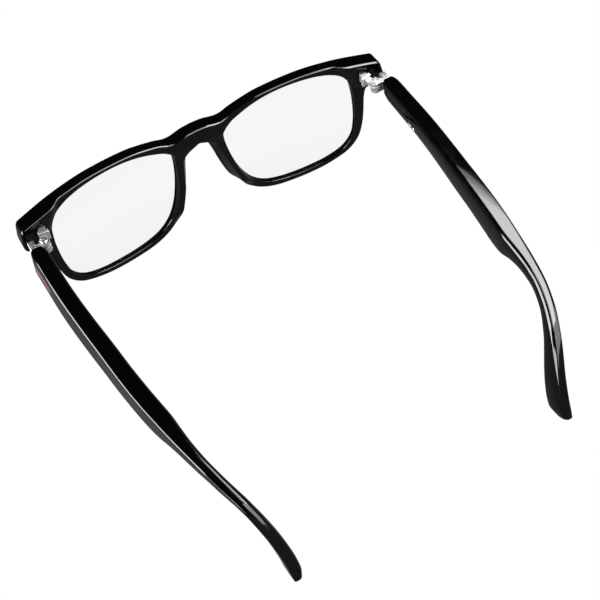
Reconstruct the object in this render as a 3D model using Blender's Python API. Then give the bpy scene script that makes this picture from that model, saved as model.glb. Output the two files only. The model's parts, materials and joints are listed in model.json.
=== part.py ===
"""Smart glasses: a full-rim frame with clear lenses and two folding electronic temples.

Metres, +Z up, +Y the way the wearer looks, +X the wearer's right.
Everything is modelled with level temples and is pitched at the end so that both
rims and both temple tips touch the ground plane.
"""
import math

import bmesh
import bpy
import numpy as np
from mathutils import Matrix, Vector

MM = 0.001

# ---- driving dimensions (millimetres) -------------------------------------------------
FACE_CURVE = 0.0017          # y = y0 - FACE_CURVE * x * x, the wrap of the front
FACE_Y0 = 9.5                # most forward point of the front
FACE_TILT = math.radians(2)  # tilt of the back face, bottom toward the wearer
SLAB = 4.4                   # depth of the flat slab the front is bent from
RIM_DEPTH_TOP = 4.4
RIM_DEPTH_LOW = 2.6          # the front face leans back to this depth at the bottom
END_DEPTH = 6.4              # depth of the end pieces
BRIDGE_DEPTH = 5.4
PAD_DEPTH = 3.0              # how far the moulded nose pads swell behind the rims
NOSE_IN = 2.2                # the nose walls splay: narrower in front,
NOSE_OUT = 1.0               # wider at the back
EDGE_ROUND = 0.55            # rounding along the outer edges of the front
GROOVE_FRONT = 0.50          # lens groove, measured back from the front face
GROOVE_BACK = 1.90
GROOVE_DEEP = 0.9
LENS_FRONT = 0.70
LENS_BACK = 1.70
LENS_LAP = 0.65
CLEAR = 0.25                 # working gap between neighbouring pieces

HINGE_X = 66.8
HINGE_Y = -11.0
BARREL_R = 1.9
SCREW_R = 0.7
BORE_R = 0.78
KNUCKLE_Z = (-7.0, -5.75, -5.5, -4.1, -3.85, -2.6)

WALL = 1.15                  # shell wall of the temples
TOP_CROWN = 0.3              # crown of the temples' top and of their inner face
INNER_CROWN = 0.45
BAY_FROM = -31.3             # open electronics bay, front and rear end
BAY_TO = -91.0
CHAMBER_FROM = -22.0         # the bay runs on forward behind a thicker inner wall
WINDOW = (-14.9, -30.6)      # sensor window, front and rear end

NAVY_BLACK = (0.006, 0.006, 0.007)

# Right half of the front in its own flat plane: (x, z).
TOP_EDGE = [(0.0, -1.6), (4.4, -1.9), (7.0, -2.5), (9.4, -3.0), (12.0, -2.75), (14.5, -1.8),
            (17.5, -0.9), (22.0, 0.25), (26.0, 1.1), (36.0, 2.1), (45.0, 2.5), (51.0, 2.3), (56.0, 2.0), (61.0, 1.5), (66.0, 0.8),
            (71.6, 0.0)]
END_FACE = [(72.4, -0.8), (73.1, -3.6), (73.6, -6.8), (73.2, -9.0), (71.6, -10.2)]
LOWER_EDGE = [(69.2, -10.8), (67.5, -12.6), (66.5, -16.5), (66.0, -22.0), (65.0, -29.5),
              (63.0, -36.2), (59.0, -41.3), (52.0, -44.8), (45.0, -46.6), (36.0, -47.3),
              (27.0, -46.6), (20.5, -44.1), (15.8, -40.1), (12.6, -34.6), (10.4, -28.7),
              (8.8, -22.8), (7.6, -17.4), (6.2, -13.1), (3.8, -10.0), (1.6, -8.8), (0.0, -8.5)]
LENS_EDGE = [(10.4, -12.6), (10.6, -9.5), (13.2, -6.8), (17.5, -4.6), (23.0, -2.4),
             (30.0, -0.7), (37.0, 0.0), (44.0, 0.0), (50.0, -0.6), (55.0, -1.9), (59.3, -4.4),
             (61.8, -8.6), (62.7, -14.6), (62.8, -21.1), (62.2, -28.6), (60.5, -35.5),
             (56.6, -40.4), (50.0, -43.5), (43.0, -44.8), (36.0, -45.2), (29.0, -44.6),
             (23.0, -42.6), (18.3, -38.5), (14.6, -31.8), (11.9, -23.2), (10.7, -16.8)]

# Right temple along its top outer edge: (y, x, z, height, thickness).
TEMPLE = [(-13.2, 73.0, -0.9, 8.6, 5.8), (-16.0, 73.1, -0.7, 8.8, 6.0),
          (-25.0, 72.9, -0.7, 9.2, 6.1), (-39.0, 72.4, -0.7, 9.9, 6.2),
          (-52.6, 71.4, -0.7, 10.4, 6.3), (-64.5, 70.3, -0.7, 10.8, 6.4),
          (-75.6, 69.3, -0.7, 11.1, 6.4), (-86.6, 68.0, -0.7, 11.2, 6.4),
          (-93.0, 67.0, -0.7, 11.0, 6.3), (-98.0, 66.1, -0.7, 9.9, 6.1),
          (-103.0, 65.2, -0.7, 7.6, 5.5), (-108.5, 64.1, -0.7, 6.1, 4.8),
          (-114.0, 62.9, -0.8, 5.5, 4.3), (-119.4, 61.6, -1.3, 5.2, 4.0),
          (-124.0, 60.3, -2.5, 5.2, 3.9), (-128.4, 58.9, -4.3, 5.4, 3.9),
          (-132.6, 57.3, -7.0, 5.9, 3.9), (-136.2, 55.9, -10.3, 6.4, 3.9),
          (-139.4, 54.6, -14.4, 7.0, 4.0), (-142.4, 53.4, -18.8, 7.6, 4.1),
          (-145.3, 52.5, -23.3, 8.1, 4.2), (-147.9, 51.9, -27.5, 8.2, 4.2),
          (-149.6, 51.7, -30.6, 7.5, 3.9), (-150.5, 51.5, -32.4, 5.8, 3.1)]

MATERIALS = {
    "black_gloss": (NAVY_BLACK, 0.12, 0.0),
    "black_matte": ((0.012, 0.012, 0.013), 0.5, 0.0),
    "steel": ((0.62, 0.62, 0.63), 0.25, 1.0),
    "dark_steel": ((0.35, 0.35, 0.36), 0.3, 1.0),
    "lens": ((0.92, 0.93, 0.94), 0.02, 0.0),
    "gold": ((0.83, 0.64, 0.28), 0.3, 1.0),
    "board": ((0.02, 0.12, 0.05), 0.5, 0.0),
    "cell": ((0.55, 0.57, 0.60), 0.35, 0.6),
    "rubber": ((0.03, 0.03, 0.03), 0.8, 0.0),
    "mesh": ((0.10, 0.10, 0.10), 0.45, 0.8),
    "red": ((0.45, 0.03, 0.03), 0.35, 0.0),
    "copper": ((0.72, 0.38, 0.20), 0.35, 1.0),
}


# ---- scene helpers --------------------------------------------------------------------
def clear_scene():
    for obj in list(bpy.data.objects):
        bpy.data.objects.remove(obj, do_unlink=True)
    for group in list(bpy.data.collections):
        bpy.data.collections.remove(group)


def collection(name):
    group = bpy.data.collections.new(name)
    bpy.context.scene.collection.children.link(group)
    return group


def material(kind, name):
    colour, rough, metal = MATERIALS[kind]
    mat = bpy.data.materials.new(name)
    mat.use_nodes = True
    shader = mat.node_tree.nodes["Principled BSDF"]
    shader.inputs["Base Color"].default_value = (*colour, 1.0)
    shader.inputs["Roughness"].default_value = rough
    shader.inputs["Metallic"].default_value = metal
    return mat


def new_object(name, bm, group):
    bmesh.ops.recalc_face_normals(bm, faces=bm.faces)
    mesh = bpy.data.meshes.new(name)
    bm.to_mesh(mesh)
    bm.free()
    obj = bpy.data.objects.new(name, mesh)
    group.objects.link(obj)
    return obj


def cutter(name, bm):
    obj = new_object(name, bm, CUTTERS)
    obj.hide_render = True
    obj.display_type = "WIRE"
    return obj


def boolean(target, tool, operation="DIFFERENCE"):
    mod = target.modifiers.new("bool", "BOOLEAN")
    mod.operation = operation
    mod.solver = "EXACT"
    mod.object = tool
    bpy.context.view_layer.update()
    graph = bpy.context.evaluated_depsgraph_get()
    mesh = bpy.data.meshes.new_from_object(target.evaluated_get(graph))
    target.modifiers.clear()
    old = target.data
    target.data = mesh
    bpy.data.meshes.remove(old)
    bm = bmesh.new()
    bm.from_mesh(target.data)
    bmesh.ops.remove_doubles(bm, verts=bm.verts, dist=0.002 * MM)
    bmesh.ops.dissolve_degenerate(bm, edges=bm.edges, dist=0.001 * MM)
    bm.to_mesh(target.data)
    bm.free()
    return target


# ---- curves through points ------------------------------------------------------------
def spline(points, per_span, closed=False):
    """Centripetal Catmull-Rom through the points."""
    pts = [np.array(p, dtype=float) for p in points]
    if closed:
        pts = [pts[-1]] + pts + [pts[0], pts[1]]
    else:
        pts = [2 * pts[0] - pts[1]] + pts + [2 * pts[-1] - pts[-2]]
    out = []
    for i in range(1, len(pts) - 2):
        p0, p1, p2, p3 = pts[i - 1], pts[i], pts[i + 1], pts[i + 2]
        t1 = np.linalg.norm(p1 - p0) ** 0.5
        t2 = t1 + np.linalg.norm(p2 - p1) ** 0.5
        t3 = t2 + np.linalg.norm(p3 - p2) ** 0.5
        for k in range(per_span):
            t = t1 + (t2 - t1) * k / per_span
            a1 = p0 * (t1 - t) / t1 + p1 * t / t1
            a2 = p1 * (t2 - t) / (t2 - t1) + p2 * (t - t1) / (t2 - t1)
            a3 = p2 * (t3 - t) / (t3 - t2) + p3 * (t - t2) / (t3 - t2)
            b1 = a1 * (t2 - t) / t2 + a2 * t / t2
            b2 = a2 * (t3 - t) / (t3 - t1) + a3 * (t - t1) / (t3 - t1)
            out.append(b1 * (t2 - t) / (t2 - t1) + b2 * (t - t1) / (t2 - t1))
    if not closed:
        out.append(pts[-2])
    return out


def offset_loop(loop, amount):
    """Move a closed plane loop outward (positive) along its vertex normals."""
    pts = np.array(loop)
    nxt = np.roll(pts, -1, axis=0)
    prv = np.roll(pts, 1, axis=0)
    area = 0.5 * np.sum(pts[:, 0] * nxt[:, 1] - nxt[:, 0] * pts[:, 1])
    tangent = nxt - prv
    tangent /= np.linalg.norm(tangent, axis=1)[:, None]
    normal = np.stack([tangent[:, 1], -tangent[:, 0]], axis=1)
    return [p for p in pts + normal * amount * math.copysign(1.0, area)]


# ---- primitive solids (millimetre input) -----------------------------------------------
def prism_bm(loop, y_front, y_back, back_loop=None):
    """A plane loop in x, z extruded along y, or drawn over to an equal loop at the back."""
    bm = bmesh.new()
    front = [bm.verts.new((p[0] * MM, y_front * MM, p[1] * MM)) for p in loop]
    back = [bm.verts.new((p[0] * MM, y_back * MM, p[1] * MM)) for p in back_loop or loop]
    bm.faces.new(front)
    bm.faces.new(list(reversed(back)))
    count = len(loop)
    for i in range(count):
        j = (i + 1) % count
        bm.faces.new((front[i], back[i], back[j], front[j]))
    return bm


def box_bm(centre, size, rot_z=0.0):
    bm = bmesh.new()
    turn = Matrix.Rotation(rot_z, 4, "Z")
    place = Matrix.Translation(Vector(centre) * MM) @ turn @ Matrix.Diagonal((*[s * MM for s in size], 1.0))
    bmesh.ops.create_cube(bm, size=1.0, matrix=place)
    return bm


def cylinder_bm(x, y, z0, z1, radius, sides=32):
    bm = bmesh.new()
    place = Matrix.Translation(Vector((x, y, 0.5 * (z0 + z1))) * MM)
    bmesh.ops.create_cone(bm, cap_ends=True, segments=sides, radius1=radius * MM,
                          radius2=radius * MM, depth=abs(z1 - z0) * MM, matrix=place)
    return bm


def bevel_bm(bm, width, segments=2, angle=30.0):
    sharp = [e for e in bm.edges if len(e.link_faces) == 2
             and e.calc_face_angle(0.0) > math.radians(angle)]
    bmesh.ops.bevel(bm, geom=sharp, offset=width * MM, segments=segments, profile=0.5,
                    affect="EDGES", clamp_overlap=True)
    return bm


def loft_bm(rings):
    """Closed skin through equal rings of points, flat ends."""
    bm = bmesh.new()
    layers = [[bm.verts.new(Vector(p) * MM) for p in ring] for ring in rings]
    count = len(layers[0])
    for a, b in zip(layers[:-1], layers[1:]):
        for i in range(count):
            j = (i + 1) % count
            bm.faces.new((a[i], a[j], b[j], b[i]))
    bm.faces.new(list(reversed(layers[0])))
    bm.faces.new(layers[-1])
    return bm


def rounded_section(lat0, lat1, up0, up1, radii, steps, divide=1):
    """Rounded rectangle as (lateral, up) points; radii from outer low, round over the top."""
    room = 0.49 * min(lat1 - lat0, up1 - up0)
    arcs = []
    corners = [(lat1, up0, -1, 1, -90), (lat1, up1, -1, -1, 0), (lat0, up1, 1, -1, 90),
               (lat0, up0, 1, 1, 180)]
    for (cx, cy, sx, sy, start), radius in zip(corners, radii):
        radius = min(radius, room)
        angles = [math.radians(start + 90.0 * k / steps) for k in range(steps + 1)]
        arcs.append([(cx + radius * (sx + math.cos(a)), cy + radius * (sy + math.sin(a)))
                     for a in angles] if radius > 0.02 else [(cx, cy)])
    out = []
    for arc, following in zip(arcs, arcs[1:] + arcs[:1]):
        here, there = arc[-1], following[0]
        out += arc
        out += [tuple(h + (t - h) * k / divide for h, t in zip(here, there))
                for k in range(1, divide)]
    return out


# ---- the front -------------------------------------------------------------------------
def ease(value, low, high):
    t = min(max((value - low) / (high - low), 0.0), 1.0)
    return t * t * (3.0 - 2.0 * t)


def rim_depth(z):
    return RIM_DEPTH_LOW + (RIM_DEPTH_TOP - RIM_DEPTH_LOW) * ease(z, -36.0, -4.0)


def nose_pad(x, z):
    """Extra depth of the rim along the nose, swelling and fading smoothly."""
    run = ease(-z, 12.0, 25.0) * (1.0 - ease(-z, 33.0, 42.0))
    return PAD_DEPTH * run * (1.0 - ease(abs(x), 16.5, 21.0))


def nose_splay(point, back):
    """Outline point moved toward the nose in front and away from it at the back."""
    x, z = point
    run = ease(-z, 8.8, 14.0) * (1.0 - ease(-z, 31.0, 41.0)) * (1.0 - ease(abs(x), 14.0, 19.0))
    shift = NOSE_OUT if back else -NOSE_IN
    return (x + math.copysign(1.0, x) * shift * run, z)


def front_depth(x, z):
    """How deep the front is, front face to back face."""
    rim = rim_depth(z)
    end = ease(abs(x) - 0.55 * (2.0 - z), 55.8, 60.4) * ease(z, -11.2, -9.8)
    bridge = (1.0 - ease(abs(x), 7.0, 16.0)) * ease(z, -14.0, -6.0)
    depth = rim + (END_DEPTH - rim) * end
    return depth + (BRIDGE_DEPTH - depth) * bridge + nose_pad(x, z)


def bend_point(co):
    """Flat slab to the wrapped and tilted front."""
    x, y, z = co.x / MM, co.y / MM, co.z / MM
    zone = GROOVE_BACK + 0.15
    if y < -zone:
        y = -zone + (y + zone) * (front_depth(x, z) - zone) / (SLAB - zone)
    slope = 2.0 * FACE_CURVE * x
    norm = math.sqrt(1.0 + slope * slope)
    square = 1.0 - ease(abs(x), 58.0, 69.0)
    px = x + square * y * slope / norm
    py = FACE_Y0 - FACE_CURVE * x * x + y * (square / norm + 1.0 - square)
    py -= RIM_DEPTH_TOP - rim_depth(z)
    return Vector((px * MM, (py + z * math.tan(FACE_TILT)) * MM, z * MM))


def cut_planes(bm, xs, zs):
    for x in xs:
        geom = bm.verts[:] + bm.edges[:] + bm.faces[:]
        bmesh.ops.bisect_plane(bm, geom=geom, dist=0.0002 * MM, plane_co=(x * MM, 0, 0),
                               plane_no=(1, 0, 0))
    for z in zs:
        geom = bm.verts[:] + bm.edges[:] + bm.faces[:]
        bmesh.ops.bisect_plane(bm, geom=geom, dist=0.0002 * MM, plane_co=(0, 0, z * MM),
                               plane_no=(0, 0, 1))


def bend_mesh(obj, xs, zs):
    bm = bmesh.new()
    bm.from_mesh(obj.data)
    cut_planes(bm, xs, zs)
    bmesh.ops.remove_doubles(bm, verts=bm.verts, dist=0.02 * MM)
    for vert in bm.verts:
        vert.co = bend_point(vert.co)
    bmesh.ops.dissolve_degenerate(bm, edges=bm.edges, dist=0.01 * MM)
    bm.to_mesh(obj.data)
    bm.free()


def front_outline():
    top = spline(TOP_EDGE, 2)
    corner = spline([TOP_EDGE[-1]] + END_FACE, 2)
    low = spline([END_FACE[-1]] + LOWER_EDGE, 3)
    right = top + corner[1:] + low[1:]
    left = [(-p[0], p[1]) for p in reversed(right[1:-1])]
    return [tuple(p) for p in right] + left


def lens_loop(side):
    loop = [tuple(p) for p in spline(LENS_EDGE, 2, closed=True)]
    if side < 0:
        loop = [(-p[0], p[1]) for p in reversed(loop)]
    return loop


def build_front():
    outline = front_outline()
    slab = prism_bm([nose_splay(p, False) for p in outline], 0.0, -SLAB,
                    [nose_splay(p, True) for p in outline])
    obj = new_object("front_frame", slab, PARTS)
    for side, tag in ((1, "right"), (-1, "left")):
        loop = lens_loop(side)
        boolean(obj, cutter("aperture_" + tag, prism_bm(loop, 1.0, -SLAB - 1.0)))
    bm = bmesh.new()
    bm.from_mesh(obj.data)
    bevel_bm(bm, EDGE_ROUND, 2, 40.0)
    bm.to_mesh(obj.data)
    bm.free()
    for side, tag in ((1, "right"), (-1, "left")):
        loop = offset_loop(lens_loop(side), GROOVE_DEEP)
        boolean(obj, cutter("groove_" + tag, prism_bm(loop, -GROOVE_FRONT, -GROOVE_BACK)))
    xs = [3.1 * i for i in range(-23, 24)]
    zs = [-43.0, -40.0, -37.0, -34.0, -31.0, -28.0, -25.0, -22.0, -19.5, -17.0, -14.0, -12.6,
          -11.2, -10.5, -9.8, -8.3, -6.8, -5.3, -3.8, -2.3, -0.8, 0.7]
    step = [56.0, 58.0, 59.0, 61.0, 62.0, 64.0, 65.0]
    bend_mesh(obj, xs + step + [-x for x in step], zs)
    for side, tag in ((1, "right"), (-1, "left")):
        boolean(obj, cutter("tang_slot_" + tag, tang_bm(side, 0.12)))
    return obj


def build_lens(side, tag):
    loop = offset_loop(lens_loop(side), LENS_LAP)
    obj = new_object("lens_" + tag, prism_bm(loop, -LENS_FRONT, -LENS_BACK), PARTS)
    bend_mesh(obj, [side * 3.0 * i for i in range(3, 22)], [])
    return obj


# ---- the temples -----------------------------------------------------------------------
def temple_state(y):
    """Top outer edge point, height and thickness at a distance along the temple."""
    rows = np.array(TEMPLE)
    ys = -rows[:, 0]
    s = min(max(-y, ys[0]), ys[-1])
    i = int(min(max(np.searchsorted(ys, s) - 1, 0), len(ys) - 2))
    slopes = np.gradient(rows[:, 1:], ys, axis=0)
    h = ys[i + 1] - ys[i]
    t = (s - ys[i]) / h
    h00 = 2 * t ** 3 - 3 * t ** 2 + 1
    h10 = t ** 3 - 2 * t ** 2 + t
    h01 = -2 * t ** 3 + 3 * t ** 2
    h11 = t ** 3 - t ** 2
    val = h00 * rows[i, 1:] + h10 * h * slopes[i] + h01 * rows[i + 1, 1:] + h11 * h * slopes[i + 1]
    return -s, val


def temple_frame(y):
    y, val = temple_state(y)
    _, ahead = temple_state(y + 0.4)
    _, behind = temple_state(y - 0.4)
    span = (min(y + 0.4, TEMPLE[0][0]) - max(y - 0.4, TEMPLE[-1][0]))
    tangent = Vector(((behind[0] - ahead[0]), -span, (behind[1] - ahead[1]))).normalized()
    up = Vector((0.0, -tangent.z, tangent.y))
    if up.z < 0.0:
        up = -up
    up.normalize()
    lateral = up.cross(tangent).normalized()
    corner = Vector((val[0], y, val[1]))
    height, thick = val[2], val[3]
    return corner, lateral, up, height, thick


def temple_lean(y):
    """Outward lean of the sides below the top edge, fading out behind the electronics."""
    return 0.11 - 0.11 * ease(-y, 30.0, 108.0)


def temple_ring(y, lat, vert, radii, steps, divide):
    """Section ring; lat and vert are callables of (thickness, height) giving the limits."""
    corner, lateral, up, height, thick = temple_frame(y)
    lean = temple_lean(y)
    lat0, lat1 = lat(thick)
    up0, up1 = vert(height)
    ring = []
    for a, b in rounded_section(lat0, lat1, up0, up1, radii, steps, divide):
        out = a - 0.5 * thick + lean * (0.5 * height - b)
        out += INNER_CROWN * min(2.0 * b / height, 1.0) ** 2 * ease(-a, 0.0, 0.5 * thick)
        drop = TOP_CROWN * (min(abs(2.0 * a / thick), 1.0) ** 2 - 0.5)
        ring.append(corner + lateral * out + up * (b - 0.5 * height - drop * ease(b, 0.0, 0.5 * height)))
    return ring


def along_temple(ys, lat, vert, radii=(0.0, 0.0, 0.0, 0.0), steps=3, divide=1):
    return loft_bm([temple_ring(y, lat, vert, radii, steps, divide) for y in ys])


def steps_between(start, stop, count):
    return [start + (stop - start) * i / (count - 1) for i in range(count)]


def temple_stations():
    ys = [-13.2, -13.35, -13.8, -14.6, -15.8] + steps_between(-17.4, -92.0, 16)
    ys += steps_between(-94.0, -116.0, 12) + steps_between(-118.5, -147.6, 16)
    return ys + [-148.8, -149.7, -150.2, -150.45]


def quarter(y, start, length, depth):
    """How far a quarter-ellipse end has closed in at y."""
    t = min(max((y - start) / length, 0.0), 1.0)
    return depth * (1.0 - math.sqrt(1.0 - t * t))


CORNERS = (1.1, 0.7, 1.1, 1.1)


def temple_body_bm():
    rings = []
    for y in temple_stations():
        nose = quarter(y, -16.6, 3.4, 1.7)
        brow = quarter(y, -14.6, 1.4, 0.7)
        rings.append(temple_ring(y, lambda t, s=nose: (-0.5 * t + s, 0.5 * t - 0.8 * s),
                                 lambda h, s=brow: (-0.5 * h + s, 0.5 * h - s),
                                 CORNERS, 3, 3))
    return loft_bm(rings)


def bay_box(y0, y1, lat_in, lat_out, up_low, up_high, count=2):
    """A box that follows the temple; lateral measured from the inner face outward, up from the
    middle of the section."""
    ys = steps_between(y0, y1, count)
    return along_temple(ys, lambda t: (-0.5 * t + lat_in, -0.5 * t + lat_out),
                        lambda h: (up_low, up_high))


def bay_cavity_bm():
    return along_temple(steps_between(BAY_FROM, BAY_TO, 13),
                        lambda t: (-0.5 * t - 1.0, 0.5 * t - WALL),
                        lambda h: (-0.5 * h + 1.35, 0.5 * h - 1.35))


def chamber_bm():
    return along_temple(steps_between(CHAMBER_FROM, BAY_FROM - 1.0, 3),
                        lambda t: (-0.5 * t + 1.7, 0.5 * t - WALL - 0.1),
                        lambda h: (-0.5 * h + 1.5, 0.5 * h - 1.5))


def cover_bm():
    ys = steps_between(BAY_FROM - CLEAR, BAY_TO + CLEAR, 13)
    return along_temple(ys, lambda t: (-0.5 * t, -0.5 * t + 0.9),
                        lambda h: (-0.5 * h + 1.35 + CLEAR, 0.5 * h - 1.35 - CLEAR), divide=4)


def mirror_bm(bm, side):
    if side < 0:
        for vert in bm.verts:
            vert.co.x = -vert.co.x
        bmesh.ops.reverse_faces(bm, faces=bm.faces)
    return bm


def made(name, bm, side, group=None):
    return new_object(name, mirror_bm(bm, side), group or PARTS)


def cut(target, name, bm, side):
    return boolean(target, cutter(name, mirror_bm(bm, side)))


SPEAKER = (-88.0, -76.0)
SLOT = (-86.5, -78.5)


def slot_bm(margin):
    """Sound outlet through the lower wall behind the hinge end of the step."""
    return along_temple([SLOT[1] + margin, SLOT[0] - margin],
                        lambda t: (-0.9 - margin, 0.9 + margin),
                        lambda h: (-0.5 * h - 1.0, -0.5 * h + 2.0))


def build_temple(side, tag):
    shell = made("temple_shell_" + tag, temple_body_bm(), side)
    cut(shell, "bay_" + tag, bay_cavity_bm(), side)
    cut(shell, "chamber_" + tag, chamber_bm(), side)
    cut(shell, "outlet_" + tag, slot_bm(0.0), side)
    cut(shell, "hinge_pocket_" + tag, block_tang_bm(0.12), side)
    cut(shell, "hinge_relief_" + tag, hinge_relief_bm(), side)
    cover = made("temple_cover_" + tag, cover_bm(), side)
    mesh = along_temple([SLOT[1] - CLEAR, SLOT[0] + CLEAR],
                        lambda t: (-0.9 + CLEAR, 0.9 - CLEAR),
                        lambda h: (-0.5 * h + 0.25, -0.5 * h + 0.75))
    grille = made("speaker_grille_" + tag, mesh, side)
    for i in range(9):
        y = -79.2 - 0.83 * i
        hole = along_temple([y + 0.2, y - 0.2], lambda t: (-0.42, 0.42),
                            lambda h: (-0.5 * h - 0.5, -0.5 * h + 1.5))
        cut(grille, "grille_hole_%s_%d" % (tag, i), hole, side)
    speaker = made("speaker_" + tag, bay_box(SPEAKER[1], SPEAKER[0], 1.2, 4.3, -2.9, 2.7), side)
    return shell, cover, grille, speaker


# ---- the hinges ------------------------------------------------------------------------
def tang_bm(side, grow):
    bm = box_bm((65.4, -4.6, -4.8), (2.6 + 2 * grow, 3.4 + 2 * grow, 3.2 + 2 * grow))
    return mirror_bm(bm, side)


def hinge_leaf(side, tag):
    """Plate on the back of the end piece, arm and middle knuckle."""
    low, high = KNUCKLE_Z[2], KNUCKLE_Z[3]
    plate = bevel_bm(box_bm((65.5, -6.5, -4.8), (3.8, 1.5, 4.2), math.radians(11)), 0.25, 2)
    leaf = made("hinge_leaf_" + tag, plate, side)
    arm = box_bm((66.3, -8.7, 0.5 * (low + high)), (2.4, 4.6, high - low), math.radians(13))
    boolean(leaf, cutter("leaf_arm_" + tag, mirror_bm(arm, side)), "UNION")
    barrel = cylinder_bm(HINGE_X, HINGE_Y, low, high, BARREL_R)
    boolean(leaf, cutter("leaf_barrel_" + tag, mirror_bm(barrel, side)), "UNION")
    boolean(leaf, cutter("leaf_tang_" + tag, tang_bm(side, 0.0)), "UNION")
    cut(leaf, "leaf_bore_" + tag, cylinder_bm(HINGE_X, HINGE_Y, -12, 2, BORE_R), side)
    return leaf


def block_tang_bm(grow):
    return box_bm((70.3, -15.6, -4.7), (1.8 + 2 * grow, 6.8 + 2 * grow, 3.4 + 2 * grow))


def hinge_relief_bm():
    """Room for the knuckles at the inner front corner of the temple."""
    return cylinder_bm(HINGE_X, HINGE_Y, -12.0, 2.0, 2.9, 40)


def hinge_block(side, tag):
    """Temple casting: ribbed outer block, cross member, two knuckles and a tang."""
    z0, z1, z2, z3, z4, z5 = KNUCKLE_Z
    body = bevel_bm(box_bm((71.1, -10.7, -4.75), (2.2, 4.4, 4.7)), 0.25, 2)
    block = made("hinge_block_" + tag, body, side)
    cross = box_bm((69.0, -11.8, -4.8), (3.8, 2.0, 4.3))
    boolean(block, cutter("block_cross_" + tag, mirror_bm(cross, side)), "UNION")
    for label, a, b in (("low", z0, z1), ("high", z4, z5)):
        knuckle = cylinder_bm(HINGE_X, HINGE_Y, a, b, BARREL_R)
        boolean(block, cutter("block_%s_%s" % (label, tag), mirror_bm(knuckle, side)), "UNION")
    boolean(block, cutter("block_tang_" + tag, mirror_bm(block_tang_bm(0.0), side)), "UNION")
    slot = cylinder_bm(HINGE_X, HINGE_Y, z1, z4, BARREL_R + CLEAR, 40)
    cut(block, "block_slot_" + tag, slot, side)
    cut(block, "block_bore_" + tag, cylinder_bm(HINGE_X, HINGE_Y, -12, 2, BORE_R), side)
    for i in range(3):
        rib = box_bm((70.45 + 0.65 * i, -10.7, -2.45), (0.25, 5.0, 0.5))
        cut(block, "block_rib_%s_%d" % (tag, i), rib, side)
    return block


def hinge_screw(side, tag):
    shank = cylinder_bm(HINGE_X, HINGE_Y, KNUCKLE_Z[0] + 0.1, KNUCKLE_Z[5] + 0.3, SCREW_R, 24)
    screw = made("hinge_screw_" + tag, shank, side)
    head = bevel_bm(cylinder_bm(HINGE_X, HINGE_Y, KNUCKLE_Z[5] + 0.12, KNUCKLE_Z[5] + 0.75,
                                1.3, 28), 0.15, 1, 60.0)
    boolean(screw, cutter("screw_head_" + tag, mirror_bm(head, side)), "UNION")
    drive = box_bm((HINGE_X, HINGE_Y, KNUCKLE_Z[5] + 0.75), (3.2, 0.35, 0.5), math.radians(35))
    cut(screw, "screw_drive_" + tag, drive, side)
    return screw


# ---- electronics -----------------------------------------------------------------------
def fixed_inside():
    """Batteries, boards and the small parts inside the two bays."""
    out = {}
    out["battery_left"] = made("battery_left", bay_box(-58.0, -32.0, 1.3, 4.2, -2.3, 2.2, 6), -1)
    out["battery_right"] = made("battery_right", bay_box(-72.0, -54.0, 1.3, 4.3, -2.6, 2.5, 5), 1)
    out["board_right"] = made("main_board_right",
                              bay_box(-52.0, -34.5, 2.4, 3.2, -2.4, 2.4, 5), 1)
    out["board_left"] = made("sub_board_left", bay_box(-74.0, -60.0, 2.4, 3.2, -2.5, 2.5, 4), -1)
    out["processor"] = made("processor_right", bay_box(-48.0, -42.0, 3.35, 4.2, -1.8, 1.8), 1)
    out["antenna"] = made("touch_flex_right", bay_box(-33.8, -23.0, 3.5, 4.0, -2.0, 2.0, 3), 1)
    out["mic_left"] = made("microphone_left", bay_box(-27.5, -24.0, 2.2, 3.8, -2.0, 0.6), -1)
    return out


def contacts(cover):
    """Two charging contacts low on the inner face of the right temple."""
    out = []
    for i, (front, back) in enumerate(((-32.3, -34.0), (-34.9, -36.6))):
        ys = (front, back)
        name = "charge_contact_%s" % ("front", "rear")[i]
        hole = along_temple([ys[0] + CLEAR, ys[1] - CLEAR],
                            lambda t: (-0.5 * t - 0.8, -0.5 * t + 1.4),
                            lambda h: (-2.3 - CLEAR, -1.3 + CLEAR))
        cut(cover, "contact_hole_%d" % i, hole, 1)
        pin = along_temple(ys, lambda t: (-0.5 * t - 0.18, -0.5 * t + 1.2),
                           lambda h: (-2.3, -1.3))
        out.append(made(name, bevel_bm(pin, 0.12, 1), 1))
    return out


def inner_window(shell):
    """Long oval sensor window set into the inner face ahead of the electronics bay."""
    middle, half = 0.5 * (WINDOW[0] + WINDOW[1]), 0.5 * (WINDOW[0] - WINDOW[1])
    ys = [middle + half * math.cos(math.pi * k / 14) for k in range(15)]

    def limits(y, grow):
        t = (middle - y) / half
        reach = 0.25 + 2.35 * max(0.0, 1.0 - abs(t) ** 2.4) ** (1.0 / 2.4)
        centre = 0.1 + 0.5 * t
        return centre - reach - grow, centre + reach + grow

    def body(grow, inner, outer):
        rings = [temple_ring(y + grow * (1 if y > middle else -1) * abs(y - middle) / half,
                             lambda t: (-0.5 * t + inner, -0.5 * t + outer),
                             lambda h, y=y: limits(y, grow), (0.0,) * 4, 1, 4) for y in ys]
        return loft_bm(rings)

    cut(shell, "window_pocket", body(0.15, -2.0, 1.0), 1)
    return made("sensor_window_right", body(0.0, -0.02, 0.85), 1)


def build_marks(shell_left):
    """A plain red inlay stripe set into the outer face of the left temple."""
    ys = steps_between(-17.0, -30.0, 8)
    pocket = along_temple(ys, lambda t: (0.5 * t - 0.4, 0.5 * t + 0.6), lambda h: (-1.5, 0.9))
    cut(shell_left, "inlay_pocket", pocket, -1)
    ys = steps_between(-17.15, -29.85, 8)
    inlay = along_temple(ys, lambda t: (0.5 * t - 0.3, 0.5 * t + 0.02), lambda h: (-1.35, 0.75))
    return made("inlay_left", inlay, -1)


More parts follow.
